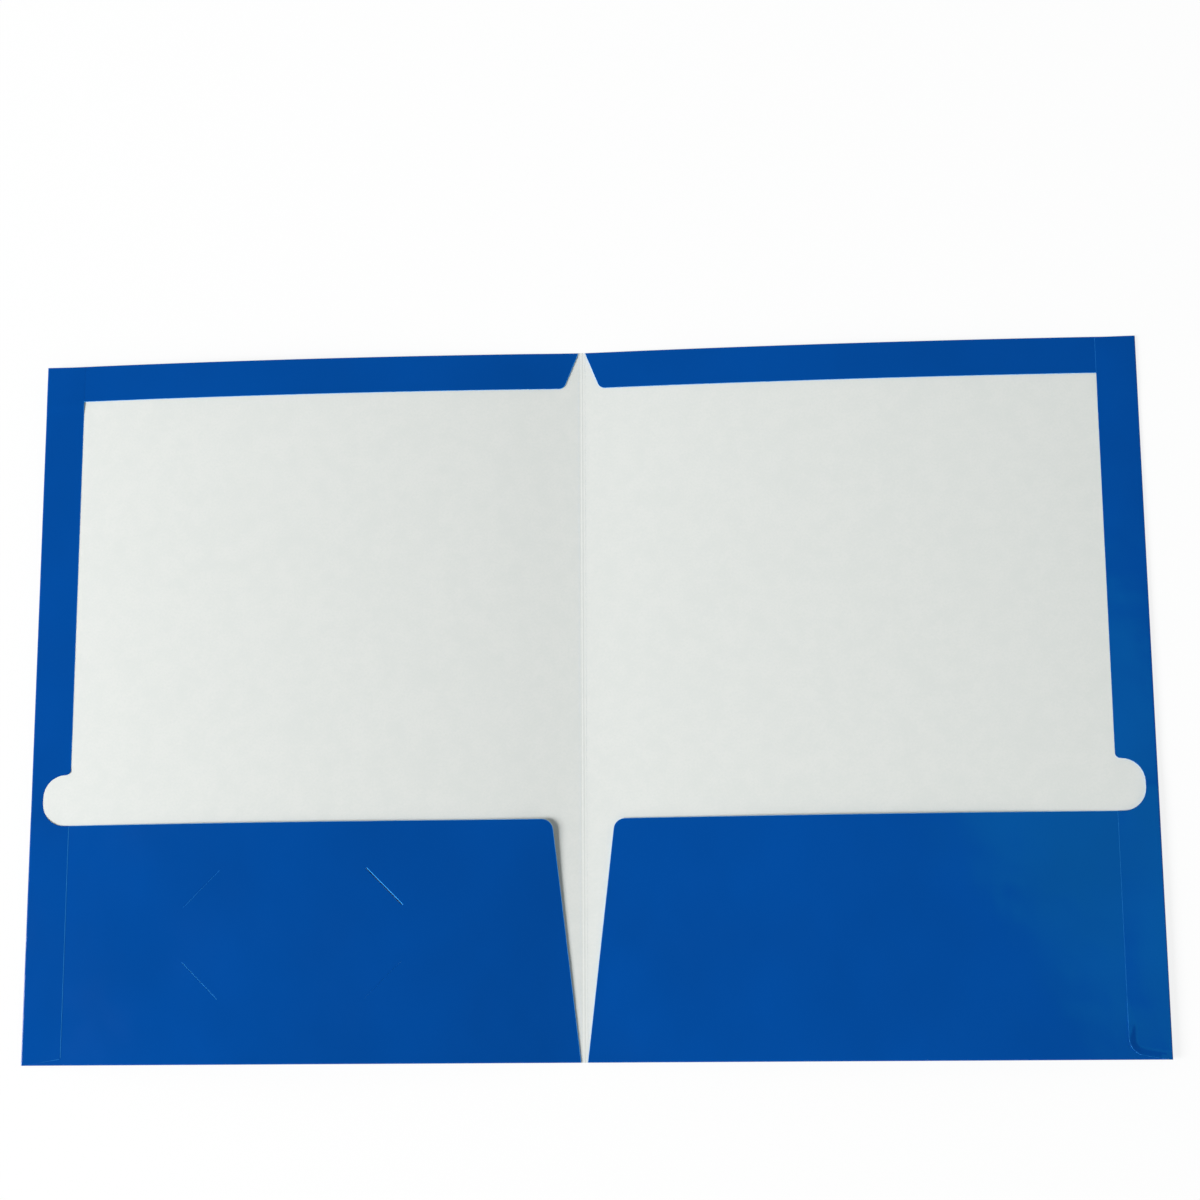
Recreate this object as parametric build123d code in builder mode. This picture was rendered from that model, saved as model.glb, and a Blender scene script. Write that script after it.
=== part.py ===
from build123d import *
from math import pi
import os

# Two pocket folder for letter size sheets, lying open and flat. One blank of laminated board is die cut,
# creased, folded over along its outer edges and glued. X runs across the two covers, Y along the spine
# and Z up from the table. The origin is on the table, under the middle of the spine.

os.makedirs("parts", exist_ok=True)

# Covers
COVER_WIDTH = 228.6
COVER_HEIGHT = 292.1
BOARD = 0.3
GLUE = 0.05

# Hems folded in along the top and the outer sides
TOP_HEM = 15.5
SIDE_HEM = 16.5
FOLD_LIP = 0.6
END_CLEARANCE = 0.3
STEP_RUN = 6.0
STEP_CLEARANCE = 0.4
LOW_END_RISE = 2.2
LEFT_LOW_ROUND = 1.0
RIGHT_LOW_ROUND = 6.5

# V notch at the head of the spine, between the two top hems
NOTCH_REACH = 7.6
NOTCH_ROUND = 3.0

# Thumb notch in each side hem, just above the pocket
THUMB_HEIGHT = 21.0
THUMB_NECK = 5.0
THUMB_ROUND = 9.0
THUMB_MOUTH_ROUND = 3.0

# Pockets folded up from the bottom edge
POCKET_HEIGHT = 96.5
POCKET_ROOM = 0.25
POCKET_TOP_INSET = 12.7
POCKET_ROUND = 4.5

# Four slits for the corners of a business card, in the left pocket
CARD_WIDTH = 88.9
CARD_HEIGHT = 50.8
CARD_CORNER = 7.0
CARD_FROM_SIDE = 110.7
CARD_FROM_BOTTOM = 51.5
SLIT_LENGTH = 21.0
SLIT_WIDTH = 0.3
SLIT_ANGLE = 45.0

# Crease along the spine: a groove that is pressed in from outside raises a bead inside
SHUT_CLEARANCE = 0.15
GROOVE_WIDTH = 0.7
GROOVE_DEPTH = 0.12
BEAD_WIDTH = 0.9
BEAD_HEIGHT = 0.1

# Glue lines keep this far inside the edges of the flaps that they hold
GLUE_MARGIN = 3.0
GLUE_ROUND = 1.5

# Heights of the upper faces, layer on layer
hem_top = BOARD + GLUE + BOARD
corner_top = hem_top + GLUE + BOARD
pocket_top = BOARD + POCKET_ROOM + BOARD
side_on_pocket_top = pocket_top + GLUE + BOARD

# Each flap turns over in a half round beyond the line where the flat cover ends
fold_line = max(corner_top, side_on_pocket_top) / 2 + FOLD_LIP

# The covers turn about a line just above the pocket fronts, so that these lie face to face when the
# folder is shut. The creased band between the covers is as wide as the half turn that it then makes.
spine_axis_height = pocket_top + SHUT_CLEARANCE
crease_half = pi * (spine_axis_height - BOARD / 2) / 2

# Places along the spine, from foot to head, and across a cover, from the spine outwards
head = COVER_HEIGHT / 2
foot = -COVER_HEIGHT / 2
hem_edge = head - TOP_HEM
pocket_mouth = foot + POCKET_HEIGHT
thumb_head = pocket_mouth + THUMB_HEIGHT
flap_end = COVER_WIDTH - fold_line
side_edge = COVER_WIDTH - SIDE_HEM
panel_middle = (crease_half + flap_end) / 2
panel_width = flap_end - crease_half

# The side hem runs over the top hem, drops to the cover, and climbs over the pocket: where along the
# spine each stretch starts and ends, and the height of its upper face there
side_levels = [
    (head - END_CLEARANCE, corner_top),
    (hem_edge - STEP_CLEARANCE, corner_top),
    (hem_edge - STEP_CLEARANCE - STEP_RUN, hem_top),
    (pocket_mouth + STEP_CLEARANCE + STEP_RUN, hem_top),
    (pocket_mouth + STEP_CLEARANCE, side_on_pocket_top),
    (foot + END_CLEARANCE, side_on_pocket_top),
]


def save(piece, name):
    """Labels a finished piece and writes it as its own file."""
    piece.part.label = name
    export_step(piece.part, f"parts/{name}.step")


def fold_section(plane, top):
    """Section of a folded edge: the board leaves the cover, turns over and comes back above it.

    The plane's x runs inwards from the outermost edge and its y is height.
    """
    radius = top / 2
    with BuildSketch(plane) as section:
        with BuildLine():
            Line((fold_line, 0), (radius, 0))
            ThreePointArc((radius, 0), (0, radius), (radius, top))
            Polyline((radius, top), (fold_line, top), (fold_line, top - BOARD), (radius, top - BOARD))
            ThreePointArc((radius, top - BOARD), (BOARD, radius), (radius, BOARD))
            Polyline((radius, BOARD), (fold_line, BOARD), (fold_line, 0))
        make_face()
    return section.sketch


def corner_wedge(root, tip, shoulder):
    """Triangle in plan that slants the end of a flap from its fold, at root, to its free edge, at tip."""
    with BuildSketch() as wedge:
        with BuildLine():
            Polyline(root, tip, shoulder, close=True)
        make_face()
    return wedge.sketch


# Creased band of board along the spine, with the groove and bead that it folds on
with BuildPart() as spine_crease:
    with BuildSketch(Plane.XZ):
        with BuildLine():
            groove = GROOVE_WIDTH / 2
            bead = BEAD_WIDTH / 2
            Line((-crease_half, 0), (-groove, 0))
            ThreePointArc((-groove, 0), (0, GROOVE_DEPTH), (groove, 0))
            Polyline((groove, 0), (crease_half, 0), (crease_half, BOARD), (bead, BOARD))
            ThreePointArc((bead, BOARD), (0, BOARD + BEAD_HEIGHT), (-bead, BOARD))
            Polyline((-bead, BOARD), (-crease_half, BOARD), (-crease_half, 0))
        make_face()
    extrude(amount=COVER_HEIGHT / 2, both=True)
save(spine_crease, "spine_crease")

for hand, side, low_round in (("left", -1, LEFT_LOW_ROUND), ("right", 1, RIGHT_LOW_ROUND)):

    # Cover: the flat panel between the spine band and the three folded edges
    with BuildPart() as cover_panel:
        with BuildSketch():
            with Locations((side * panel_middle, 0)):
                Rectangle(panel_width, COVER_HEIGHT - 2 * fold_line)
        extrude(amount=BOARD)
    save(cover_panel, f"{hand}_cover_panel")

    # Top hem and the fold that it hangs from, with inner ends slanted for the V notch
    notch_root = (side * crease_half, head)
    notch_tip = (side * NOTCH_REACH, hem_edge)
    notch_shoulder = (side * crease_half, hem_edge)
    notch_wedge = corner_wedge(notch_root, notch_tip, notch_shoulder)

    with BuildPart() as top_fold:
        top_plane = Plane(origin=(side * panel_middle, head, 0), x_dir=(0, -1, 0), z_dir=(-1, 0, 0))
        extrude(fold_section(top_plane, hem_top), amount=panel_width / 2, both=True)
        extrude(notch_wedge, amount=hem_top, mode=Mode.SUBTRACT)
    save(top_fold, f"{hand}_top_fold")

    with BuildPart() as top_hem:
        with BuildSketch(Plane.XY.offset(hem_top)):
            with Locations((side * panel_middle, hem_edge)):
                Rectangle(panel_width, TOP_HEM - fold_line, align=(Align.CENTER, Align.MIN))
        extrude(amount=-BOARD)
        extrude(notch_wedge, amount=hem_top, mode=Mode.SUBTRACT)
        fillet(edges().filter_by(Axis.Z).sort_by_distance((*notch_tip, hem_top))[0], NOTCH_ROUND)
    save(top_hem, f"{hand}_top_hem")

    # Pocket front and the fold along its foot, with free ends that slope away from the spine
    free_root = (side * crease_half, foot)
    free_tip = (side * POCKET_TOP_INSET, pocket_mouth)
    free_shoulder = (side * crease_half, pocket_mouth)
    free_wedge = corner_wedge(free_root, free_tip, free_shoulder)

    with BuildPart() as pocket_fold:
        foot_plane = Plane(origin=(side * panel_middle, foot, 0), x_dir=(0, 1, 0), z_dir=(1, 0, 0))
        extrude(fold_section(foot_plane, pocket_top), amount=panel_width / 2, both=True)
        extrude(free_wedge, amount=pocket_top, mode=Mode.SUBTRACT)
    save(pocket_fold, f"{hand}_pocket_fold")

    with BuildPart() as pocket_front:
        with BuildSketch(Plane.XY.offset(pocket_top)):
            with Locations((side * panel_middle, pocket_mouth)):
                Rectangle(panel_width, POCKET_HEIGHT - fold_line, align=(Align.CENTER, Align.MAX))
        extrude(amount=-BOARD)
        extrude(free_wedge, amount=pocket_top, mode=Mode.SUBTRACT)
        fillet(edges().filter_by(Axis.Z).sort_by_distance((*free_tip, pocket_top))[0], POCKET_ROUND)
        if hand == "left":
            card_centre = (side * (COVER_WIDTH - CARD_FROM_SIDE), foot + CARD_FROM_BOTTOM)
            slit_column = CARD_WIDTH / 2 - CARD_CORNER
            slit_row = CARD_HEIGHT / 2 - CARD_CORNER
            with BuildSketch(Plane.XY.offset(pocket_top)):
                with Locations(card_centre):
                    with Locations((slit_column, slit_row), (-slit_column, -slit_row)):
                        Rectangle(SLIT_LENGTH, SLIT_WIDTH, rotation=-SLIT_ANGLE)
                    with Locations((-slit_column, slit_row), (slit_column, -slit_row)):
                        Rectangle(SLIT_LENGTH, SLIT_WIDTH, rotation=SLIT_ANGLE)
            extrude(amount=-BOARD, mode=Mode.SUBTRACT)
    save(pocket_front, f"{hand}_pocket_front")

    # Fold along the outer side: its round grows where the side hem has more layers under it
    with BuildPart() as side_fold:
        sections = []
        for place, top in side_levels:
            station = Plane(origin=(side * COVER_WIDTH, place, 0), x_dir=(-side, 0, 0), z_dir=(0, side, 0))
            sections.append(fold_section(station, top))
        loft(sections, ruled=True)
    save(side_fold, f"{hand}_side_fold")

    # Side hem, folded in last, with a tapered lower end and the thumb notch above the pocket
    with BuildPart() as side_hem:
        with BuildSketch(Plane.YZ.offset(side * side_edge)):
            with BuildLine():
                upper_face = [(place, top) for place, top in side_levels]
                under_face = [(place, top - BOARD) for place, top in reversed(side_levels)]
                Polyline(*upper_face, *under_face, close=True)
            make_face()
        extrude(amount=side * (flap_end - side_edge))
        taper_root = (side * flap_end, foot + END_CLEARANCE)
        taper_tip = (side * side_edge, foot + LOW_END_RISE)
        taper_shoulder = (side * side_edge, foot + END_CLEARANCE)
        extrude(
            corner_wedge(taper_root, taper_tip, taper_shoulder),
            amount=side_on_pocket_top,
            mode=Mode.SUBTRACT,
        )
        low_corner = (*taper_tip, side_on_pocket_top)
        fillet(edges().filter_by(Axis.Z).sort_by_distance(low_corner)[0], low_round)
        with BuildSketch():
            thumb_depth = SIDE_HEM - THUMB_NECK
            with Locations((side * (side_edge + thumb_depth / 2), pocket_mouth)):
                Rectangle(thumb_depth, THUMB_HEIGHT, align=(Align.CENTER, Align.MIN))
            blind_end = vertices().sort_by(Axis.X, reverse=side > 0)[:2]
            fillet(blind_end, THUMB_ROUND)
        extrude(amount=side_on_pocket_top, mode=Mode.SUBTRACT)
        mouth_corner = (side * side_edge, thumb_head, hem_top)
        fillet(edges().filter_by(Axis.Z).sort_by_distance(mouth_corner)[0], THUMB_MOUTH_ROUND)
    save(side_hem, f"{hand}_side_hem")

    # Glue lines: under the top hem, under the side hem on the cover, where the two hems cross,
    # and between the pocket and the side hem that closes its outer end
    strip = (side_edge + GLUE_MARGIN, flap_end - GLUE_MARGIN)
    top_strip = (NOTCH_REACH + GLUE_MARGIN, flap_end - GLUE_MARGIN)
    hem_span = (hem_edge + GLUE_MARGIN, head - fold_line - GLUE_MARGIN)
    open_span = (thumb_head + GLUE_MARGIN, hem_edge - STEP_CLEARANCE - STEP_RUN - GLUE_MARGIN)
    pocket_span = (foot + fold_line + GLUE_MARGIN, pocket_mouth - GLUE_MARGIN)
    glue_lines = {
        "top_glue": (top_strip, hem_span, BOARD),
        "side_glue": (strip, open_span, BOARD),
        "corner_glue": (strip, hem_span, hem_top),
        "pocket_glue": (strip, pocket_span, pocket_top),
    }
    for name, ((inner, outer), (low, high), under) in glue_lines.items():
        with BuildPart() as glue_line:
            with BuildSketch(Plane.XY.offset(under)):
                with Locations((side * (inner + outer) / 2, (low + high) / 2)):
                    RectangleRounded(outer - inner, high - low, GLUE_ROUND)
            extrude(amount=GLUE)
        save(glue_line, f"{hand}_{name}")
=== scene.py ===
from math import cos, pi, radians, sin, tan

import bmesh
import bpy
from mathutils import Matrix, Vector


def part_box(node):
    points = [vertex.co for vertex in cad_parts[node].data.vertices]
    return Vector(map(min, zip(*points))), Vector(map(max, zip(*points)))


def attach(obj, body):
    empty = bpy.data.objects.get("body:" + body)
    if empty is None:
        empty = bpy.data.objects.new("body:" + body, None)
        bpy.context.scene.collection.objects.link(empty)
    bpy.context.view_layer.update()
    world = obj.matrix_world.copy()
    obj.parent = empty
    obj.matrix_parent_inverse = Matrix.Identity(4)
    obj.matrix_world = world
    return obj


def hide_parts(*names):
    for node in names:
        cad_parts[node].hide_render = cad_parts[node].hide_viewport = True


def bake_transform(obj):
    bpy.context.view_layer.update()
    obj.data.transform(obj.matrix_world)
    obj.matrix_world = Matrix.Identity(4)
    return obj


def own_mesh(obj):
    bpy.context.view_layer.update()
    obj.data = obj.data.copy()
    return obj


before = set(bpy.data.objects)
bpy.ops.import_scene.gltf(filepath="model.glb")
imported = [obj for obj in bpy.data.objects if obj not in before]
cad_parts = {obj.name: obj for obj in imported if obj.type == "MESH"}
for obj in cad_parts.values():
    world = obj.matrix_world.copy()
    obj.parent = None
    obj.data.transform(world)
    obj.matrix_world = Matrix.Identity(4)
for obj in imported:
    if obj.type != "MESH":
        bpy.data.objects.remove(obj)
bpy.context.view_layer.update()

# Covers
# The two flat panels of the blank: solid bleached board of 0.3 mm, printed blue and film laminated on
# the outside, left white inside. They are creased in one piece with the spine and the flaps.
MM = 0.001
HANDS = {"left": -1, "right": 1}
ACROSS = Vector((1, 0, 0))
ALONG = Vector((0, 1, 0))
UP = Vector((0, 0, 1))
BEND_PITCH = 12 * MM
CUT_TOLERANCE = 0.001 * MM
SMOOTH_ANGLE = radians(32)
FILM, PAPER_FACE, CORE_FACE = 0, 1, 2
SHARE, FIRST, SECOND, MIXED = 0, 6, 7, 2  # the sockets of a colour Mix node

panel_low, panel_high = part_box("right_cover_panel")
board = panel_high.z
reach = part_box("right_side_fold")[1].x
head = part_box("right_top_fold")[1].y
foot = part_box("right_pocket_fold")[0].y


def linear(hex_colour):
    """Turns an sRGB hex colour into the linear values that a socket takes."""
    parts = [int(hex_colour[start:start + 2], 16) / 255 for start in (1, 3, 5)]
    return [p / 12.92 if p <= 0.04045 else ((p + 0.055) / 1.055) ** 2.4 for p in parts] + [1.0]


def add_node(tree, kind, inputs=None, **settings):
    """Adds a node with its settings. Each input takes a fixed value or a link from another node's socket."""
    node = tree.nodes.new(kind)
    for name, value in settings.items():
        setattr(node, name, value)
    for socket, value in (inputs or {}).items():
        if isinstance(value, bpy.types.NodeSocket):
            tree.links.new(value, node.inputs[socket])
        else:
            node.inputs[socket].default_value = value
    return node


def start_material(name):
    """Starts a material and gives its node tree, its shader and the object coordinates."""
    material = bpy.data.materials.new(name)
    material.use_nodes = True
    tree = material.node_tree
    place = add_node(tree, "ShaderNodeTexCoord").outputs["Object"]
    return material, tree, tree.nodes["Principled BSDF"], place


# Gloss laminated print: blue ink under a clear polypropylene film. The film is smooth and mirrors its
# surroundings softly. It has a slight ripple from the laminating rollers, long waves from the board and
# hazier patches from handling. The ink is a hair uneven, and goes paler where it is stretched over a fold.
BLUE = "#004CA1"
BLUE_DEEP = "#00499B"
BLUE_STRETCHED = "#2467B5"
INK_CLOUD = 60 * MM
HAZE_PATCH = 38 * MM
ROLLER_RIPPLE = 2.4 * MM
BOARD_WAVE = 16 * MM
FOLD_WEAR = 0.7 * MM
CREASE_WEAR = 0.9 * MM
WEAR_GRAIN = 1.6 * MM
INK_LIMITS = (0.35, 0.65)
WEAR_LIMITS = (0.4, 0.75)
WEAR_MOST = 0.7
HAZE_LIMITS = (0.35, 0.7)
FILM_ROUGHNESS = (0.1, 0.17)
FILM_IOR = 1.49
WAVE_HEIGHT = 0.2 * MM
RIPPLE_HEIGHT = 0.01 * MM

film, tree, shader, place = start_material("gloss_laminated_blue_print")
cloud = add_node(tree, "ShaderNodeTexNoise", {"Vector": place, "Scale": 1 / INK_CLOUD, "Detail": 2.0})
ink_share = add_node(
    tree,
    "ShaderNodeMapRange",
    {"Value": cloud.outputs["Fac"], "From Min": INK_LIMITS[0], "From Max": INK_LIMITS[1]},
)
ink = add_node(
    tree,
    "ShaderNodeMix",
    {SHARE: ink_share.outputs["Result"], FIRST: linear(BLUE_DEEP), SECOND: linear(BLUE)},
    data_type="RGBA",
)
axes = add_node(tree, "ShaderNodeSeparateXYZ", {"Vector": place})
from_spine = add_node(tree, "ShaderNodeMath", {0: axes.outputs["X"]}, operation="ABSOLUTE")
from_middle = add_node(tree, "ShaderNodeMath", {0: axes.outputs["Y"]}, operation="ABSOLUTE")
worn = 0.0
for measure, unworn, worn_most in (
    (from_spine, reach - FOLD_WEAR, reach),
    (from_middle, head - FOLD_WEAR, head),
    (from_spine, CREASE_WEAR, 0.0),
):
    band = add_node(
        tree,
        "ShaderNodeMapRange",
        {"Value": measure.outputs[0], "From Min": unworn, "From Max": worn_most},
        interpolation_type="SMOOTHSTEP",
    )
    most = add_node(tree, "ShaderNodeMath", {0: worn, 1: band.outputs["Result"]}, operation="MAXIMUM")
    worn = most.outputs[0]
grain = add_node(tree, "ShaderNodeTexNoise", {"Vector": place, "Scale": 1 / WEAR_GRAIN, "Detail": 2.0})
patchy = add_node(
    tree,
    "ShaderNodeMapRange",
    {
        "Value": grain.outputs["Fac"],
        "From Min": WEAR_LIMITS[0],
        "From Max": WEAR_LIMITS[1],
        "To Max": WEAR_MOST,
    },
)
wear = add_node(tree, "ShaderNodeMath", {0: worn, 1: patchy.outputs["Result"]}, operation="MULTIPLY")
worn_ink = add_node(
    tree,
    "ShaderNodeMix",
    {SHARE: wear.outputs[0], FIRST: ink.outputs[MIXED], SECOND: linear(BLUE_STRETCHED)},
    data_type="RGBA",
)
tree.links.new(worn_ink.outputs[MIXED], shader.inputs["Base Color"])
handled = add_node(tree, "ShaderNodeTexNoise", {"Vector": place, "Scale": 1 / HAZE_PATCH, "Detail": 3.0})
haze = add_node(
    tree,
    "ShaderNodeMapRange",
    {
        "Value": handled.outputs["Fac"],
        "From Min": HAZE_LIMITS[0],
        "From Max": HAZE_LIMITS[1],
        "To Min": FILM_ROUGHNESS[0],
        "To Max": FILM_ROUGHNESS[1],
    },
)
tree.links.new(haze.outputs["Result"], shader.inputs["Roughness"])
wave = add_node(tree, "ShaderNodeTexNoise", {"Vector": place, "Scale": 1 / BOARD_WAVE, "Detail": 1.0})
waved = add_node(tree, "ShaderNodeBump", {"Height": wave.outputs["Fac"], "Distance": WAVE_HEIGHT})
ripple = add_node(tree, "ShaderNodeTexNoise", {"Vector": place, "Scale": 1 / ROLLER_RIPPLE, "Detail": 1.0})
skin = add_node(
    tree,
    "ShaderNodeBump",
    {"Height": ripple.outputs["Fac"], "Distance": RIPPLE_HEIGHT, "Normal": waved.outputs["Normal"]},
)
tree.links.new(skin.outputs["Normal"], shader.inputs["Normal"])
shader.inputs["IOR"].default_value = FILM_IOR

# Uncoated white face of the board: bleached fibre, matt and slightly cloudy, with a fine felt grain.
# The real grain is about 0.3 mm and is drawn coarser here so that it shows.
PAPER = "#E3E5E2"
PAPER_THIN = "#DFE2DF"
FORMATION = 7 * MM
FELT_GRAIN = 0.9 * MM
THIN_LIMITS = (0.36, 0.14)
TOOTH_HEIGHT = 0.02 * MM
TOOTH_STRENGTH = 0.6
PAPER_ROUGHNESS = 0.7
PAPER_SPECULAR = 0.3

paper, tree, shader, place = start_material("uncoated_white_board_face")
formation = add_node(tree, "ShaderNodeTexNoise", {"Vector": place, "Scale": 1 / FORMATION, "Detail": 4.0})
felt = add_node(tree, "ShaderNodeTexNoise", {"Vector": place, "Scale": 1 / FELT_GRAIN, "Detail": 2.0})
fibre = add_node(
    tree,
    "ShaderNodeMath",
    {0: formation.outputs["Fac"], 1: felt.outputs["Fac"]},
    operation="MULTIPLY",
)
thin = add_node(
    tree,
    "ShaderNodeMapRange",
    {"Value": fibre.outputs[0], "From Min": THIN_LIMITS[0], "From Max": THIN_LIMITS[1]},
)
fibre_tone = add_node(
    tree,
    "ShaderNodeMix",
    {SHARE: thin.outputs["Result"], FIRST: linear(PAPER), SECOND: linear(PAPER_THIN)},
    data_type="RGBA",
)
tree.links.new(fibre_tone.outputs[MIXED], shader.inputs["Base Color"])
tooth = add_node(
    tree,
    "ShaderNodeBump",
    {"Height": felt.outputs["Fac"], "Strength": TOOTH_STRENGTH, "Distance": TOOTH_HEIGHT},
)
tree.links.new(tooth.outputs["Normal"], shader.inputs["Normal"])
shader.inputs["Roughness"].default_value = PAPER_ROUGHNESS
shader.inputs["Specular IOR Level"].default_value = PAPER_SPECULAR

# Cut edge of the board: crushed fibre, dull, and tinted by the blue film that the die draws over it. It is
# also drawn darker than the white fibre really is: painted shade, so that the thin cut edges read as shaded.
CORE = "#3A9EE8"
CORE_FIBRE = "#2488D4"
FIBRE_CLUMP = 0.8 * MM
CORE_ROUGHNESS = 0.85
CORE_SPECULAR = 0.1

core, tree, shader, place = start_material("cut_board_core_painted_shade")
clump = add_node(tree, "ShaderNodeTexNoise", {"Vector": place, "Scale": 1 / FIBRE_CLUMP, "Detail": 2.0})
core_tone = add_node(
    tree,
    "ShaderNodeMix",
    {SHARE: clump.outputs["Fac"], FIRST: linear(CORE), SECOND: linear(CORE_FIBRE)},
    data_type="RGBA",
)
tree.links.new(core_tone.outputs[MIXED], shader.inputs["Base Color"])
shader.inputs["Roughness"].default_value = CORE_ROUGHNESS
shader.inputs["Specular IOR Level"].default_value = CORE_SPECULAR

# How the open folder lies: each cover bows up a little between the spine and its outer edge, the left
# one lifts at its head and the right one at its foot. A cage of points on each side holds that form.
LIE = {"left": (3.8 * MM, 0.0, 2.0 * MM), "right": (2.6 * MM, 2.0 * MM, 0.0)}
CAGE_COLUMNS = 9


def lie(hand, out, up):
    """Height of a cover off the table, at shares of its width from the spine and of its height."""
    bow, foot_corner, head_corner = LIE[hand]
    return 4 * bow * out * (1 - out) + out * out * (foot_corner * (1 - up) + head_corner * up)


cages = {}
for hand, side in HANDS.items():
    bpy.ops.object.add(type="LATTICE", location=(side * reach / 2, 0, 0))
    cage = bpy.context.object
    cage.scale = (reach, head - foot, board)
    cage.data.points_u = CAGE_COLUMNS
    cage.data.interpolation_type_u = "KEY_CATMULL_ROM"
    cage.data.interpolation_type_v = "KEY_LINEAR"
    cage.data.interpolation_type_w = "KEY_LINEAR"
    for point in cage.data.points:
        out = 0.5 + side * point.co.x
        point.co_deform.z += lie(hand, out, 0.5 + point.co.y) / board
    cages[hand] = cage


def start_sheet(name, low, high, height):
    """Starts a flat sheet between two corners in plan, in edit mode, with the three faces of the board."""
    if bpy.context.mode != "OBJECT":
        bpy.ops.object.mode_set(mode="OBJECT")
    bpy.ops.object.select_all(action="DESELECT")
    bpy.ops.mesh.primitive_plane_add(size=1)
    piece = bpy.context.object
    piece.name = piece.data.name = name
    piece.location = ((low.x + high.x) / 2, (low.y + high.y) / 2, height)
    piece.scale = (high.x - low.x, high.y - low.y, 1)
    bpy.ops.object.transform_apply(location=True, rotation=True, scale=True)
    for face in (film, paper, core):
        piece.data.materials.append(face)
    bpy.ops.object.mode_set(mode="EDIT")
    return piece


def cut(point, normal, discard=False):
    """Cuts the sheet along a plane and, where asked, throws away what lies beyond it."""
    bpy.ops.mesh.select_all(action="SELECT")
    bpy.ops.mesh.bisect(
        plane_co=point, plane_no=normal.normalized(), clear_outer=discard, threshold=CUT_TOLERANCE
    )


def rule(axis, start, end, pitch=BEND_PITCH):
    """Cuts the sheet at even steps along an axis, so that it can bend."""
    steps = max(2, round((end - start) / pitch))
    for step in range(1, steps):
        cut(axis * (start + (end - start) * step / steps), axis)


def thicken(piece):
    """Gives the sheet its board: film on the modelled face, white paper behind, bare core at the cuts."""
    bpy.ops.object.mode_set(mode="OBJECT")
    solid = piece.modifiers.new("board", "SOLIDIFY")
    solid.thickness = board
    solid.offset = -1
    solid.use_even_offset = True
    solid.material_offset = PAPER_FACE
    solid.material_offset_rim = CORE_FACE
    bpy.ops.object.modifier_apply(modifier=solid.name)


def lay(piece, hand):
    """Bends a finished piece with its cover, as that lies on the table, and smooths its rounds."""
    bend = piece.modifiers.new("lie", "LATTICE")
    bend.object = cages[hand]
    bpy.ops.object.modifier_apply(modifier=bend.name)
    bpy.ops.object.shade_smooth_by_angle(angle=SMOOTH_ANGLE)


def fix(piece, hand, slot, *nodes):
    """Fixes a finished piece to its cover and hides the parts that it stands for."""
    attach(piece, f"{hand}_cover")
    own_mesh(piece)
    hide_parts(*nodes)


for hand in HANDS:
    low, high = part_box(f"{hand}_cover_panel")
    cover = start_sheet(f"{hand}_cover", low, high, 0)
    rule(ACROSS, low.x, high.x)
    rule(ALONG, low.y, high.y)
    bpy.ops.mesh.select_all(action="SELECT")
    bpy.ops.mesh.flip_normals()
    thicken(cover)
    lay(cover, hand)
    fix(cover, hand, "white_inside", f"{hand}_cover_panel")

# Spine
# The narrow band of the same board between the covers. A rule pressed in from outside leaves a groove there
# and a bead inside. It is modelled open, as a shallow valley; shut, the real band is the round back of the
# folder.
BEAD_HALF = 0.45 * MM
BEAD_HEIGHT = 0.06 * MM
BEAD_COLUMNS = 3
SLOPE_COLUMNS = 4
NEAR = 0.02 * MM

crease_half = panel_low.x


def pick(piece, kind, test):
    """Selects the vertices, edges or faces of the sheet in edit mode whose middle passes the test."""
    bpy.ops.mesh.select_mode(type=kind)
    bpy.ops.mesh.select_all(action="DESELECT")
    sheet = bmesh.from_edit_mesh(piece.data)
    if kind == "VERT":
        found = [(v, v.co) for v in sheet.verts]
    elif kind == "EDGE":
        found = [(e, (e.verts[0].co + e.verts[1].co) / 2) for e in sheet.edges]
    else:
        found = [(f, f.calc_center_median()) for f in sheet.faces]
    for element, middle in found:
        if test(middle):
            element.select_set(True)
    sheet.select_flush_mode()
    bmesh.update_edit_mesh(piece.data)


def bead_rise(column):
    """Height of the bead at a distance from the middle of the spine."""
    return BEAD_HEIGHT * (1 - (column / BEAD_HALF) ** 2)


low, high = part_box("spine_crease")
bead_columns = [BEAD_HALF * step / BEAD_COLUMNS for step in range(BEAD_COLUMNS + 1)]
slope_columns = [
    BEAD_HALF + (crease_half - BEAD_HALF) * step / SLOPE_COLUMNS for step in range(1, SLOPE_COLUMNS + 1)
]
spine = start_sheet("spine", low, high, 0)
cut(Vector(), ACROSS)
for column in bead_columns[1:] + slope_columns[:-1]:
    cut(ACROSS * column, ACROSS)
    cut(-ACROSS * column, ACROSS)
rule(ALONG, low.y, high.y)
bpy.ops.mesh.select_all(action="SELECT")
bpy.ops.mesh.flip_normals()
thicken(spine)
bpy.ops.object.mode_set(mode="EDIT")
raised = 0.0
for column in reversed(bead_columns[:-1]):
    pick(spine, "VERT", lambda place: abs(place.x) <= column + NEAR)
    bpy.ops.transform.translate(value=UP * (bead_rise(column) - raised))
    raised = bead_rise(column)
for hand, side in HANDS.items():
    raised = 0.0
    for column in bead_columns[1:] + slope_columns:
        pick(spine, "VERT", lambda place: side * place.x >= column - NEAR)
        bpy.ops.transform.translate(value=UP * (lie(hand, column / reach, 0.5) - raised))
        raised = lie(hand, column / reach, 0.5)
bpy.ops.object.mode_set(mode="OBJECT")
bpy.ops.object.shade_smooth_by_angle(angle=SMOOTH_ANGLE)
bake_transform(spine)
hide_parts("spine_crease")

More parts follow.
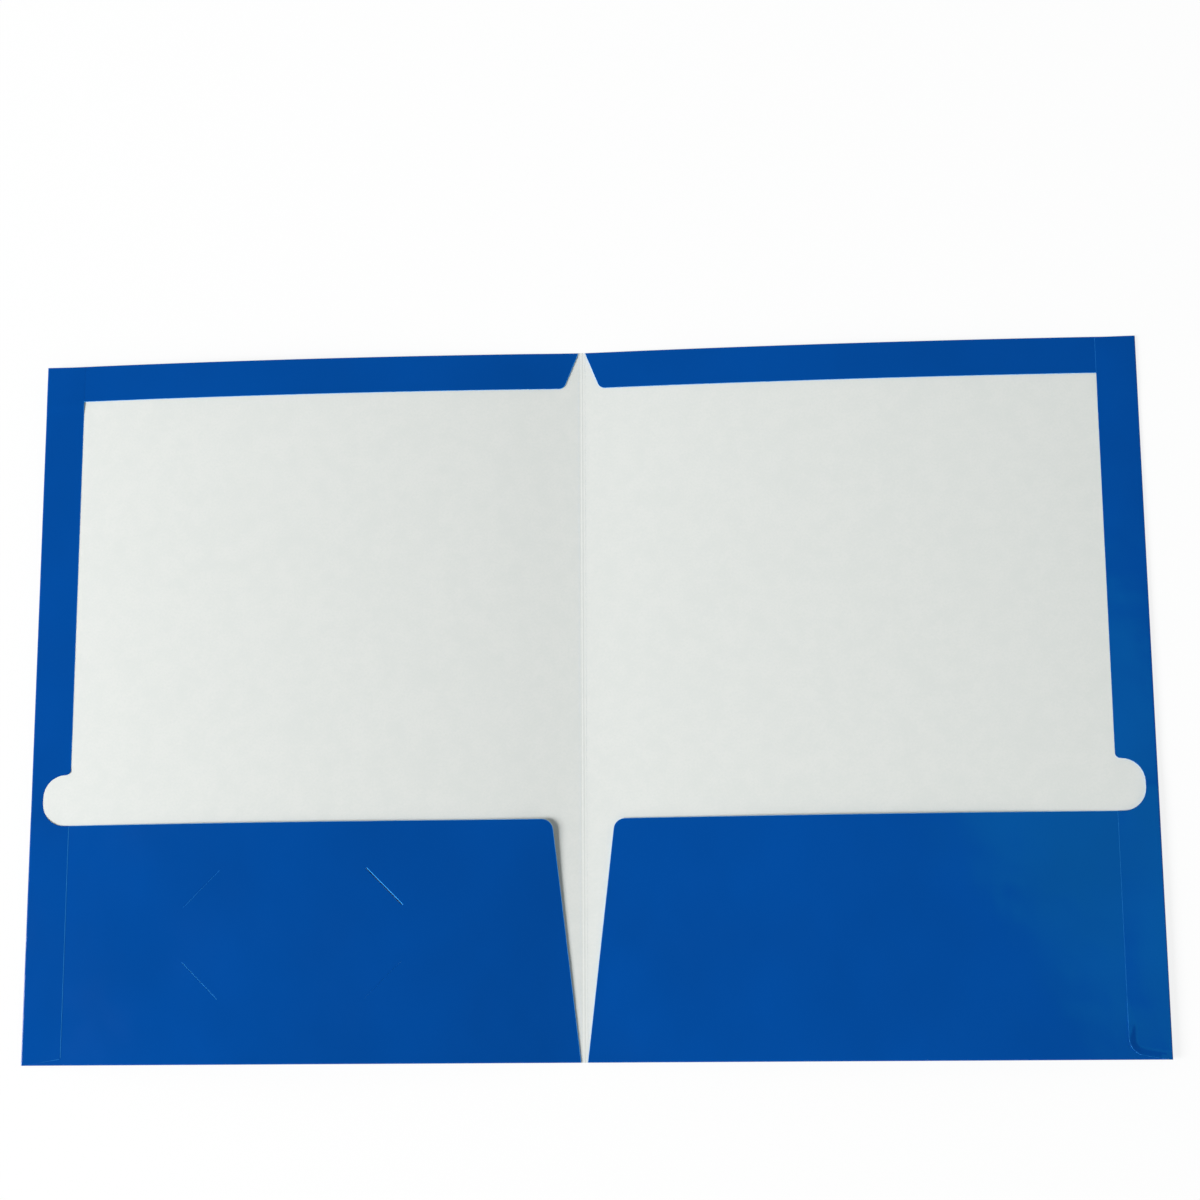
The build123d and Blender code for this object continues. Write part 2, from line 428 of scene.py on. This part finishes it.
# Top hems
# A flap along the head of each cover, turned over and glued down inside. Its inner end is slanted and
# rounded, so that the two hems leave a V notch at the head of the spine.
NOTCH_REACH = 7.6 * MM
NOTCH_ROUND = 3.0 * MM
CUT_STRIP = 0.12 * MM
FOLD_SUPPORT = 0.5 * MM
ROLL_STEPS = 9
ROUND_STEPS = 8

panel_head = panel_high.y


def trim(root, tip, away):
    """Cuts off what lies beyond a slanted line in plan, on the side that away points to."""
    line = tip - root
    normal = Vector((line.y, -line.x, 0))
    if normal.dot(away) < 0:
        normal.negate()
    cut(root, normal, discard=True)


def round_corner(piece, corner, radius):
    """Rounds one corner of the sheet's outline."""
    pick(piece, "VERT", lambda place: (place - corner).length < NEAR)
    sheet = bmesh.from_edit_mesh(piece.data)
    vertex = next(v for v in sheet.verts if v.select)
    arms = [edge.other_vert(vertex).co - vertex.co for edge in vertex.link_edges]
    offset = radius / tan(arms[0].angle(arms[1]) / 2)
    bpy.ops.mesh.bevel(offset=offset, segments=ROUND_STEPS, profile=0.5, affect="VERTICES")


def turn_under(piece, on_fold, axis, edge, cover_end):
    """Rolls a flap over its folded edge, round to the table and back to where the cover's panel ends."""
    pick(piece, "EDGE", on_fold)
    others = Vector((1, 1, 1)) - axis - UP
    gap, height = 1.0, 2.0
    for step in range(1, ROLL_STEPS + 1):
        turn = pi * step / ROLL_STEPS
        next_gap, next_height = 1 - sin(turn), 1 + cos(turn)
        bpy.ops.mesh.extrude_edges_move()
        bpy.ops.transform.resize(
            value=others + axis * next_gap / gap + UP * next_height / height,
            center_override=axis * edge,
        )
        gap, height = next_gap, next_height
    bpy.ops.mesh.extrude_edges_move()
    bpy.ops.transform.resize(value=others + UP, center_override=axis * cover_end)


def bare_edges(piece):
    """Shows a hair of core along every cut, where the die has crushed the film back."""
    bpy.ops.mesh.select_mode(type="FACE")
    bpy.ops.mesh.select_all(action="SELECT")
    bpy.ops.mesh.inset(thickness=CUT_STRIP, use_boundary=True, use_even_offset=True)
    bpy.ops.mesh.select_all(action="INVERT")
    piece.active_material_index = CORE_FACE
    bpy.ops.object.material_slot_assign()
    pick(piece, "FACE", lambda place: place.z < board / 2)
    piece.active_material_index = FILM
    bpy.ops.object.material_slot_assign()


for hand, side in HANDS.items():
    low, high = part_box(f"{hand}_top_hem")
    fold_low, fold_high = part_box(f"{hand}_top_fold")
    hem_top = high.z
    turn_line = head - hem_top / 2
    far_corner = Vector((fold_high.x, turn_line, 0))
    hem = start_sheet(f"{hand}_top_flap", Vector((fold_low.x, low.y, 0)), far_corner, hem_top)
    notch_root = Vector((side * crease_half, head, hem_top))
    notch_tip = Vector((side * NOTCH_REACH, low.y, hem_top))
    trim(notch_root, notch_tip, -side * ACROSS)
    round_corner(hem, notch_tip, NOTCH_ROUND)
    rule(ACROSS, fold_low.x, fold_high.x)
    cut(ALONG * (turn_line - FOLD_SUPPORT), ALONG)
    turn_under(hem, lambda place: place.y > turn_line - NEAR, ALONG, head, panel_head)
    bare_edges(hem)
    thicken(hem)
    lay(hem, hand)
    fix(hem, hand, "gloss_blue_board", f"{hand}_top_hem", f"{hand}_top_fold")

# Pockets
# A deep flap along the foot of each cover, turned up. Its inner end slopes away from the spine and is
# free, and the side hem holds its outer end down. Four slits in the left one take a business card.
POCKET_TOP_INSET = 12.7 * MM
POCKET_ROUND = 4.5 * MM
CARD_WIDTH = 88.9 * MM
CARD_HEIGHT = 50.8 * MM
CARD_CORNER = 7.0 * MM
CARD_FROM_SIDE = 110.7 * MM
CARD_FROM_BOTTOM = 51.5 * MM
SLIT_LENGTH = 21.0 * MM
SLIT_ANGLE = 45
SLIT_FOOT = 0.05 * MM
SLIT_MOUTHS = {(1, 1): 0.65 * MM, (-1, 1): 0.12 * MM, (-1, -1): 0.2 * MM, (1, -1): 0.06 * MM}
LIP_SLOPE = 0.84
POCKET_ROOM = 0.25 * MM
HELD_SPREAD = 60 * MM
POCKET_PITCH = 6 * MM
MOUTH_LIFT = {"left": 0.5 * MM, "right": 0.9 * MM}
MOUTH_SPREAD = 95 * MM
FREE_EDGE_LIFT = {"left": 0.2 * MM, "right": 0.0}
FREE_EDGE_SPREAD = 60 * MM
FREE_CORNER_LIFT = {"left": 1.15 * MM, "right": 0.3 * MM}
FREE_CORNER_SPREAD = 42 * MM

panel_foot = panel_low.y


def bulge(piece, place, grip, lift, spread, falloff):
    """Pulls the board up at one place, as it is held within grip, with a slope all round."""
    pick(piece, "VERT", lambda point: (point - place).length < grip)
    bpy.ops.transform.translate(
        value=UP * lift,
        use_proportional_edit=True,
        proportional_edit_falloff=falloff,
        proportional_size=spread,
    )


for hand, side in HANDS.items():
    low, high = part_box(f"{hand}_pocket_front")
    fold_low, fold_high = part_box(f"{hand}_pocket_fold")
    pocket_top = high.z
    turn_line = foot + pocket_top / 2
    held_from = min(abs(corner.x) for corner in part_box(f"{hand}_side_hem"))
    near_corner = Vector((fold_low.x, turn_line, 0))
    pocket = start_sheet(f"{hand}_pocket", near_corner, Vector((fold_high.x, high.y, 0)), pocket_top)
    free_root = Vector((side * crease_half, foot, pocket_top))
    free_tip = Vector((side * POCKET_TOP_INSET, high.y, pocket_top))
    trim(free_root, free_tip, -side * ACROSS)
    round_corner(pocket, free_tip, POCKET_ROUND)
    rule(ACROSS, fold_low.x, fold_high.x, POCKET_PITCH)
    rule(ALONG, turn_line, high.y, POCKET_PITCH)
    cut(ALONG * (turn_line + FOLD_SUPPORT), ALONG)
    cut(side * ACROSS * held_from, ACROSS)
    turn_under(pocket, lambda place: place.y < turn_line + NEAR, ALONG, foot, panel_foot)
    bare_edges(pocket)
    thicken(pocket)
    if hand == "left":
        card_middle = Vector((side * (reach - CARD_FROM_SIDE), foot + CARD_FROM_BOTTOM, pocket_top))
        for (column, row), mouth in SLIT_MOUTHS.items():
            across_card = ACROSS * column * (CARD_WIDTH / 2 - CARD_CORNER)
            up_card = ALONG * row * (CARD_HEIGHT / 2 - CARD_CORNER)
            bpy.ops.object.select_all(action="DESELECT")
            bpy.ops.mesh.primitive_cube_add(size=1)
            knife = bpy.context.object
            knife.data.materials.append(core)
            bpy.ops.object.mode_set(mode="EDIT")
            lip = LIP_SLOPE * (mouth - SLIT_FOOT)
            blade = 2 * board - lip
            bpy.ops.transform.resize(value=(SLIT_LENGTH, SLIT_FOOT, blade), center_override=(0, 0, 0))
            bpy.ops.transform.translate(value=-UP * (lip + blade / 2))
            pick(knife, "FACE", lambda place: place.z > -lip - NEAR)
            bpy.ops.mesh.extrude_region_move(TRANSFORM_OT_translate={"value": UP * 2 * lip})
            bpy.ops.transform.resize(value=(1, 2 * mouth / SLIT_FOOT - 1, 1), center_override=(0, 0, 0))
            bpy.ops.transform.translate(value=ALONG * column * row * (mouth - SLIT_FOOT))
            bpy.ops.object.mode_set(mode="OBJECT")
            knife.rotation_euler.z = radians(-SLIT_ANGLE * column * row)
            knife.location = card_middle + across_card + up_card
            slit = pocket.modifiers.new("slit", "BOOLEAN")
            slit.object = knife
            slit.solver = "EXACT"
            slit.material_mode = "TRANSFER"
            bpy.context.view_layer.objects.active = pocket
            bpy.ops.object.modifier_apply(modifier=slit.name)
            bpy.data.objects.remove(knife)
    bpy.ops.object.select_all(action="DESELECT")
    pocket.select_set(True)
    bpy.ops.object.mode_set(mode="EDIT")
    pick(
        pocket,
        "VERT",
        lambda place: side * place.x > held_from - NEAR or place.y < turn_line + FOLD_SUPPORT + NEAR,
    )
    bpy.ops.transform.resize(
        value=(1, 1, 1 - POCKET_ROOM / pocket_top),
        center_override=(0, 0, 0),
        use_proportional_edit=True,
        proportional_edit_falloff="SMOOTH",
        proportional_size=HELD_SPREAD,
    )
    mouth_middle = Vector((side * reach / 2, high.y, pocket_top))
    bulge(pocket, mouth_middle, BEND_PITCH, MOUTH_LIFT[hand], MOUTH_SPREAD, "SMOOTH")
    free_middle = (free_root + free_tip) / 2
    bulge(pocket, free_middle, POCKET_PITCH, FREE_EDGE_LIFT[hand], FREE_EDGE_SPREAD, "SMOOTH")
    bulge(pocket, free_tip, POCKET_ROUND, FREE_CORNER_LIFT[hand], FREE_CORNER_SPREAD, "SHARP")
    bpy.ops.object.mode_set(mode="OBJECT")
    lay(pocket, hand)
    fix(pocket, hand, "gloss_blue_board", f"{hand}_pocket_front", f"{hand}_pocket_fold")

# Side hems
# A flap along the outer side of each cover, folded in last and glued over the top hem, the cover and
# the end of the pocket. It has a tapered lower end and a thumb notch just above the pocket.
STEP_CLEARANCE = 0.4 * MM
TOP_CLIMB = {"left": 6.0 * MM, "right": 14.0 * MM}
POCKET_CLIMB = {"left": 6.0 * MM, "right": 10.0 * MM}
POCKET_CLIMB_END = {"left": STEP_CLEARANCE, "right": 9.7 * MM}
POCKET_CLIMB_EASE = {"left": 1, "right": 0}
LOW_END_RISE = 2.2 * MM
LOW_END_ROUND = {"left": 1.0 * MM, "right": 6.5 * MM}
THUMB_HEIGHT = 21.0 * MM
THUMB_NECK = 5.0 * MM
THUMB_ROUND = 9.3 * MM
THUMB_MOUTH_ROUND = 2.2 * MM
CLIMB_ROWS = 8
PRESS_RUN = 4.0 * MM
PRESS_DEPTH = 0.27 * MM
# Bare core along a side flap's inner edge; on the left, whose edge is in shade, the strip is drawn wider as
# painted light
BARE_CORE_AND_PAINTED_LIGHT_STRIP = {"left": 0.1 * MM, "right": 0.05 * MM}
CURL_HEIGHT = 0.45 * MM
CURL_RUN = 2.4 * MM
CURL_FADE = 6.0 * MM
CURL_STEPS = 8
CURL_PITCH = 0.6 * MM

hem_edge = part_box("right_top_hem")[0].y
hem_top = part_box("right_top_hem")[1].z
panel_end = panel_high.x
pocket_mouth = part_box("right_pocket_front")[1].y
on_top_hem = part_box("right_corner_glue")[1].z + board
on_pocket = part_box("right_side_hem")[1].z - POCKET_ROOM
corner_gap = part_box("right_corner_glue")[1].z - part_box("right_corner_glue")[0].z
fold_start = reach - max(on_top_hem, on_pocket) / 2
bend_edge = fold_start - FOLD_SUPPORT
thumb_head = pocket_mouth + THUMB_HEIGHT


def climb(piece, side, turn_line, start, end, step, ease):
    """Takes a side flap up a step that ends softly, or in a crease if ease is 0. The fold gets rounder."""
    for row in range(CLIMB_ROWS + 2):
        cut(ALONG * (start + (end - start) * row / CLIMB_ROWS), ALONG)
    sheet = bmesh.from_edit_mesh(piece.data)
    for row in {round(v.co.y / CUT_TOLERANCE) for v in sheet.verts}:
        share = min(max((row * CUT_TOLERANCE - start) / (end - start), 0), 1)
        rise = step * share * share * (1 + 2 * ease * (1 - share))
        if rise > 0:
            pick(piece, "VERT", lambda place: round(place.y / CUT_TOLERANCE) == row)
            bpy.ops.transform.translate(value=UP * rise)
            pick(
                piece,
                "VERT",
                lambda place: round(place.y / CUT_TOLERANCE) == row and side * place.x > turn_line - NEAR,
            )
            bpy.ops.transform.translate(value=-side * ACROSS * rise / 2)


def low_end_depth(place, side, tip, inwards, middle, radius):
    """How far a point of a side flap lies in from the outline of its low end."""
    out = Vector((place.x - middle.x, place.y - middle.y, 0))
    if side * out.x < 0 and out.y < 0:
        return radius - out.length
    return min(side * (place.x - tip.x), (place - tip).dot(inwards))


def press_edge(piece, on_edge):
    """Squeezes the board thin along a free edge, by pushing only its film face down."""
    bpy.ops.object.mode_set(mode="EDIT")
    pick(piece, "VERT", on_edge)
    sheet = bmesh.from_edit_mesh(piece.data)
    for vertex in sheet.verts:
        if all(face.material_index != FILM for face in vertex.link_faces):
            vertex.select_set(False)
    bmesh.update_edit_mesh(piece.data)
    bpy.ops.transform.translate(value=-UP * PRESS_DEPTH)
    bpy.ops.object.mode_set(mode="OBJECT")


for hand, side in HANDS.items():
    low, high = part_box(f"{hand}_side_hem")
    inner = min(abs(low.x), abs(high.x))
    turn_line = reach - hem_top / 2
    first, last = sorted((side * inner, side * turn_line))
    hem = start_sheet(f"{hand}_side_flap", Vector((first, foot, 0)), Vector((last, head, 0)), hem_top)
    trim(Vector((side * bend_edge, head, hem_top)), Vector((side * inner, high.y, hem_top)), ALONG)
    taper_root = Vector((side * bend_edge, foot, hem_top))
    taper_tip = Vector((side * inner, low.y + LOW_END_RISE, hem_top))
    trim(taper_root, taper_tip, -ALONG)
    low_round = LOW_END_ROUND[hand]
    round_corner(hem, taper_tip, low_round)
    thumb_end = side * (reach - THUMB_NECK)
    cut(ALONG * pocket_mouth, ALONG)
    cut(ALONG * thumb_head, ALONG)
    cut(ACROSS * thumb_end, ACROSS)
    pick(
        hem,
        "FACE",
        lambda place: pocket_mouth < place.y < thumb_head and side * (thumb_end - place.x) > 0,
    )
    bpy.ops.mesh.delete(type="FACE")
    bpy.ops.mesh.select_all(action="SELECT")
    bpy.ops.mesh.dissolve_faces()
    for corner, radius in (
        (Vector((thumb_end, pocket_mouth, hem_top)), THUMB_ROUND),
        (Vector((thumb_end, thumb_head, hem_top)), THUMB_ROUND),
        (Vector((side * inner, thumb_head, hem_top)), THUMB_MOUTH_ROUND),
    ):
        round_corner(hem, corner, radius)
    rule(ALONG, low.y, high.y)
    cut(side * ACROSS * bend_edge, ACROSS)
    cut(side * ACROSS * (inner + PRESS_RUN), ACROSS)
    strip_end = inner + BARE_CORE_AND_PAINTED_LIGHT_STRIP[hand]
    cut(side * ACROSS * strip_end, ACROSS)
    taper = (taper_root - taper_tip).normalized()
    inwards = side * Vector((-taper.y, taper.x, 0))
    # Bare core shows along the left flap's low end, and the right flap's low end curls up a little
    if hand == "left":
        strip_line = taper_tip + inwards * BARE_CORE_AND_PAINTED_LIGHT_STRIP[hand] - taper_root
        strip_side = Vector((strip_line.y, -strip_line.x, 0)).normalized()
        cut(taper_root, strip_side)
        strip_from, strip_to = foot, hem_edge
    else:
        round_rise = low_round / tan(ALONG.angle(taper) / 2)
        round_middle = taper_tip + side * ACROSS * low_round + ALONG * round_rise
        curl_top = round_middle.y + CURL_FADE
        strip_from, strip_to = curl_top, head
        cut(ALONG * curl_top, ALONG)
        rule(ALONG, foot, curl_top, CURL_PITCH)
        columns = round((bend_edge - inner) / CURL_PITCH)
        for column in range(1, columns):
            pick(hem, "FACE", lambda place: place.y < curl_top)
            bpy.ops.mesh.bisect(
                plane_co=side * ACROSS * (inner + (bend_edge - inner) * column / columns),
                plane_no=ACROSS,
                threshold=CUT_TOLERANCE,
            )
        for step in range(CURL_STEPS):
            share = 1 - step / CURL_STEPS
            fade = CURL_FADE * (1 - share) + NEAR
            run = CURL_RUN * share
            pick(
                hem,
                "VERT",
                lambda place: place.y < curl_top - fade
                and side * place.x < bend_edge - fade
                and low_end_depth(place, side, taper_tip, inwards, round_middle, low_round) < run,
            )
            bpy.ops.transform.translate(value=UP * CURL_HEIGHT / CURL_STEPS)
    climb_end = hem_edge - STEP_CLEARANCE
    climb(hem, side, turn_line, climb_end - TOP_CLIMB[hand], climb_end, on_top_hem - hem_top, 1)
    climb_end = pocket_mouth + POCKET_CLIMB_END[hand]
    climb_start = climb_end + POCKET_CLIMB[hand]
    climb(hem, side, turn_line, climb_start, climb_end, on_pocket - hem_top, POCKET_CLIMB_EASE[hand])
    turn_under(
        hem,
        lambda place: side * place.x > fold_start - NEAR,
        ACROSS,
        side * reach,
        side * panel_end,
    )
    thicken(hem)
    if hand == "left":
        press_edge(
            hem,
            lambda place: side * place.x < strip_end + NEAR
            or (place.y < taper_tip.y + low_round and side * place.x < panel_end)
            or (pocket_mouth - NEAR < place.y < thumb_head + NEAR and side * place.x < bend_edge - NEAR),
        )
    else:
        press_edge(hem, lambda place: side * place.x < strip_end + NEAR and place.y > curl_top + NEAR)
    # Over the top hem the inner edge is pressed down on the film there
    bpy.ops.object.mode_set(mode="EDIT")
    pick(hem, "VERT", lambda place: side * place.x < strip_end + NEAR and place.y > hem_edge)
    bpy.ops.transform.translate(value=-UP * corner_gap)
    # A strip of bare core along the inner edge. The left one is wider: partly painted light, which lifts the
    # dark line of that edge's shadow
    pick(
        hem,
        "FACE",
        lambda place: (side * place.x < strip_end and strip_from < place.y < strip_to)
        or (hand == "left" and place.y < pocket_mouth and (place - taper_root).dot(strip_side) > 0),
    )
    hem.active_material_index = CORE_FACE
    bpy.ops.object.material_slot_assign()
    bpy.ops.object.mode_set(mode="OBJECT")
    lay(hem, hand)
    fix(hem, hand, "gloss_blue_board", f"{hand}_side_hem", f"{hand}_side_fold")

# Glue lines
# Thin strips of dried dispersion glue between the flaps and what they lie on. They don't show on the
# finished folder, but they hold the hems down and shut the outer ends of the pockets.
GLUE = "#E9E3D2"
GLUE_ROUND = 1.5 * MM
GLUE_STREAK = 2.0 * MM
GLUE_ROUGHNESS = (0.25, 0.6)

glue, tree, shader, place = start_material("dried_dispersion_glue")
streak = add_node(tree, "ShaderNodeTexNoise", {"Vector": place, "Scale": 1 / GLUE_STREAK, "Detail": 2.0})
sheen = add_node(
    tree,
    "ShaderNodeMapRange",
    {"Value": streak.outputs["Fac"], "To Min": GLUE_ROUGHNESS[0], "To Max": GLUE_ROUGHNESS[1]},
)
tree.links.new(sheen.outputs["Result"], shader.inputs["Roughness"])
shader.inputs["Base Color"].default_value = linear(GLUE)

for hand in HANDS:
    for line in ("top_glue", "side_glue", "corner_glue", "pocket_glue"):
        low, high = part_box(f"{hand}_{line}")
        height = low.z - POCKET_ROOM if line == "pocket_glue" else low.z
        strip = start_sheet(f"{hand}_{line}_line", low, high, height)
        strip.data.materials.clear()
        strip.data.materials.append(glue)
        for corner_x in (low.x, high.x):
            for corner_y in (low.y, high.y):
                round_corner(strip, Vector((corner_x, corner_y, height)), GLUE_ROUND)
        rule(ACROSS, low.x, high.x)
        rule(ALONG, low.y, high.y)
        bpy.ops.mesh.select_mode(type="FACE")
        bpy.ops.mesh.select_all(action="SELECT")
        bpy.ops.mesh.extrude_region_move(TRANSFORM_OT_translate={"value": UP * (high.z - low.z)})
        bpy.ops.mesh.select_all(action="SELECT")
        bpy.ops.mesh.normals_make_consistent(inside=False)
        bpy.ops.object.mode_set(mode="OBJECT")
        lay(strip, hand)
        fix(strip, hand, "glue", f"{hand}_{line}")

# Every piece is bent by now, so the cages go
for cage in cages.values():
    bpy.data.objects.remove(cage)

# Floor
# A wide white table top that the folder lies on. It glows a little to the eye, so that it stays white, and
# still takes the folder's shadow.
FLOOR = "#FAFAFA"
FLOOR_SIZE = 11.0
FLOOR_DROP = 0.05 * MM
FLOOR_ROUGHNESS = 0.9
FLOOR_GLOW = 0.85
WHITE = "#FFFFFF"

white_top, tree, shader, place = start_material("white_table_top")
shader.inputs["Base Color"].default_value = linear(FLOOR)
shader.inputs["Roughness"].default_value = FLOOR_ROUGHNESS
ray = add_node(tree, "ShaderNodeLightPath")
mirrored = add_node(
    tree,
    "ShaderNodeMath",
    {0: ray.outputs["Is Glossy Ray"], 1: ray.outputs["Is Transmission Ray"]},
    operation="MAXIMUM",
)
seen = add_node(
    tree, "ShaderNodeMath", {0: ray.outputs["Is Camera Ray"], 1: mirrored.outputs[0]}, operation="MAXIMUM"
)
glow_share = add_node(tree, "ShaderNodeMath", {0: seen.outputs[0], 1: FLOOR_GLOW}, operation="MULTIPLY")
glow = add_node(tree, "ShaderNodeEmission", {"Color": linear(WHITE)})
top_surface = add_node(
    tree,
    "ShaderNodeMixShader",
    {0: glow_share.outputs[0], 1: shader.outputs["BSDF"], 2: glow.outputs["Emission"]},
)
tree.links.new(top_surface.outputs["Shader"], tree.nodes["Material Output"].inputs["Surface"])
bpy.ops.object.select_all(action="DESELECT")
bpy.ops.mesh.primitive_plane_add(size=FLOOR_SIZE, location=-UP * FLOOR_DROP)
floor = bpy.context.object
floor.name = "floor"
floor.data.materials.append(white_top)

# Light
# A large soft window far to the left and a little to the front, a weak blue green panel over the right side
# that shows in the film there, and a room that is pale at the sides and dark overhead.
WINDOW_PLACE = Vector((-5.9, -1.58, 3.82))
WINDOW_SIZE = 3.2
WINDOW_POWER = 715
PANEL_PLACE = Vector((0.72, 0.03, 2.0))
PANEL_TURN = (0, 0, radians(42.5))
PANEL_WIDTH = 0.40
PANEL_LENGTH = 1.2
PANEL_POWER = 0.7
PANEL_TINT = "#40FFE0"
ROOM_SIDES = 1.4
ROOM_OVERHEAD = 0.03
OVERHEAD_FROM = 0.75


def add_panel(name, shape, place, turn, width, length, power, tint):
    """Adds a soft panel of light, turned from facing straight down."""
    bpy.ops.object.light_add(type="AREA", location=place, rotation=turn)
    panel = bpy.context.object
    panel.name = name
    panel.data.shape = shape
    panel.data.size = width
    panel.data.size_y = length
    panel.data.energy = power
    panel.data.color = linear(tint)[:3]


window_turn = (-WINDOW_PLACE).to_track_quat("-Z", "Y").to_euler()
add_panel(
    "window_left", "RECTANGLE", WINDOW_PLACE, window_turn, WINDOW_SIZE, WINDOW_SIZE, WINDOW_POWER, WHITE
)
add_panel(
    "panel_right", "ELLIPSE", PANEL_PLACE, PANEL_TURN, PANEL_WIDTH, PANEL_LENGTH, PANEL_POWER, PANEL_TINT
)
world = bpy.data.worlds.new("studio_room")
world.use_nodes = True
tree = world.node_tree
way_out = add_node(tree, "ShaderNodeTexCoord").outputs["Generated"]
rise = add_node(tree, "ShaderNodeSeparateXYZ", {"Vector": way_out})
room = add_node(
    tree,
    "ShaderNodeMapRange",
    {
        "Value": rise.outputs["Z"],
        "From Max": OVERHEAD_FROM,
        "To Min": ROOM_SIDES,
        "To Max": ROOM_OVERHEAD,
    },
)
tree.nodes["Background"].inputs["Color"].default_value = linear(WHITE)
tree.links.new(room.outputs["Result"], tree.nodes["Background"].inputs["Strength"])
bpy.context.scene.world = world
bpy.context.scene.view_settings.view_transform = "Standard"

# Camera
# It looks down on the open folder from above its lower right, as in the photograph.
CAMERA_PLACE = (0.0872, -0.1428, 0.9317)
CAMERA_TURN = (11.057, 4.976, -0.325)
CAMERA_LENS = 69.573
CAMERA_SENSOR = 36.0

bpy.ops.object.camera_add(location=CAMERA_PLACE, rotation=[radians(angle) for angle in CAMERA_TURN])
camera = bpy.context.object
camera.data.lens = CAMERA_LENS
camera.data.sensor_width = CAMERA_SENSOR
bpy.context.scene.camera = camera
